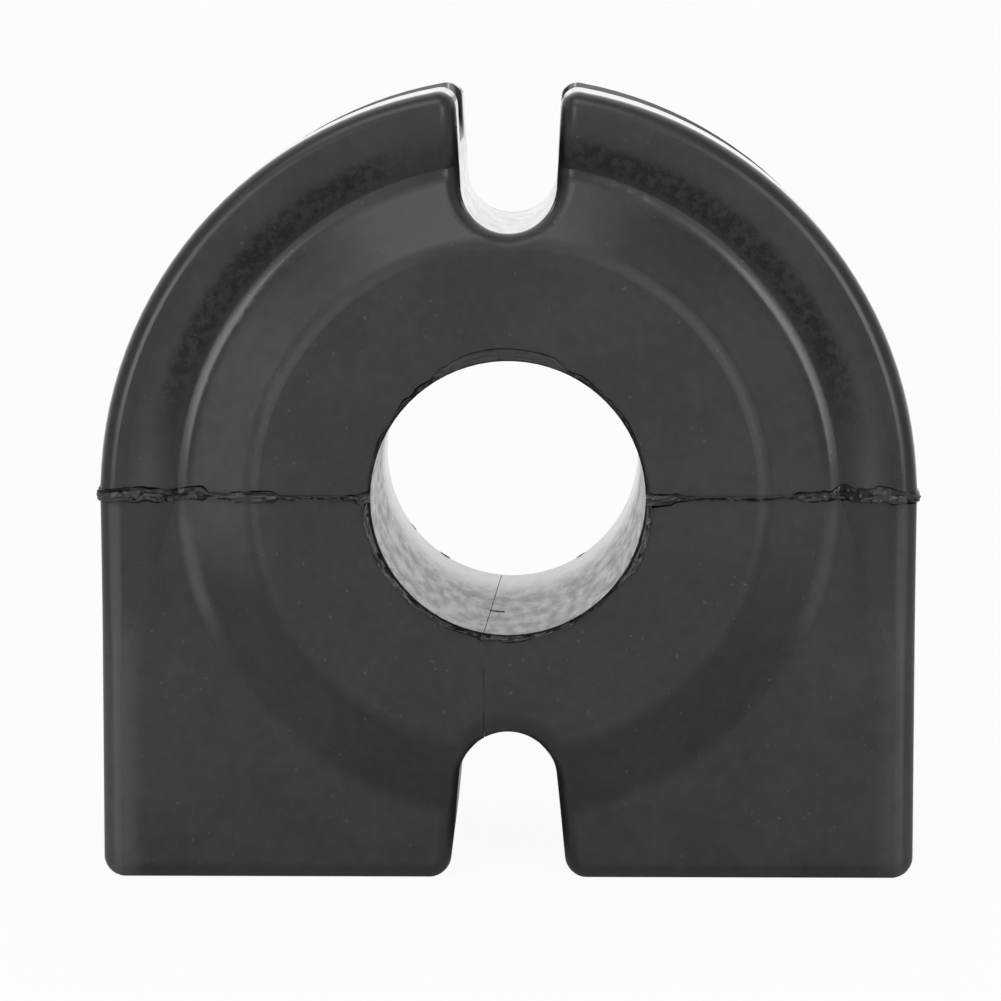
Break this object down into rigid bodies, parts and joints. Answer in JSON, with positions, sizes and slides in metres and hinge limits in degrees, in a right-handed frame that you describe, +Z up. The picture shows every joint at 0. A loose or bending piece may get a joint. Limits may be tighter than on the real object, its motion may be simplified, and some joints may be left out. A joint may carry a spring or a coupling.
{
  "type": "sway bar bushing",
  "caption": "Split rubber bushing with an arched top and a flat base, a bore for a stabiliser bar, slots above and below it and a groove for a bracket strap.",
  "frame": {"origin": "middle of the bore's axis, halfway between the two hub faces", "axes": "+Y along the bore, with the front face towards -Y; +Z up, from the flat base to the arched top"},
  "size_m": [0.0726, 0.0426, 0.0698],
  "materials": {
    "black_rubber": "satin moulded rubber with a dull bloom"
  },
  "bodies": {
    "root": {"rubber_body": "black_rubber"}
  },
  "joints": []
}
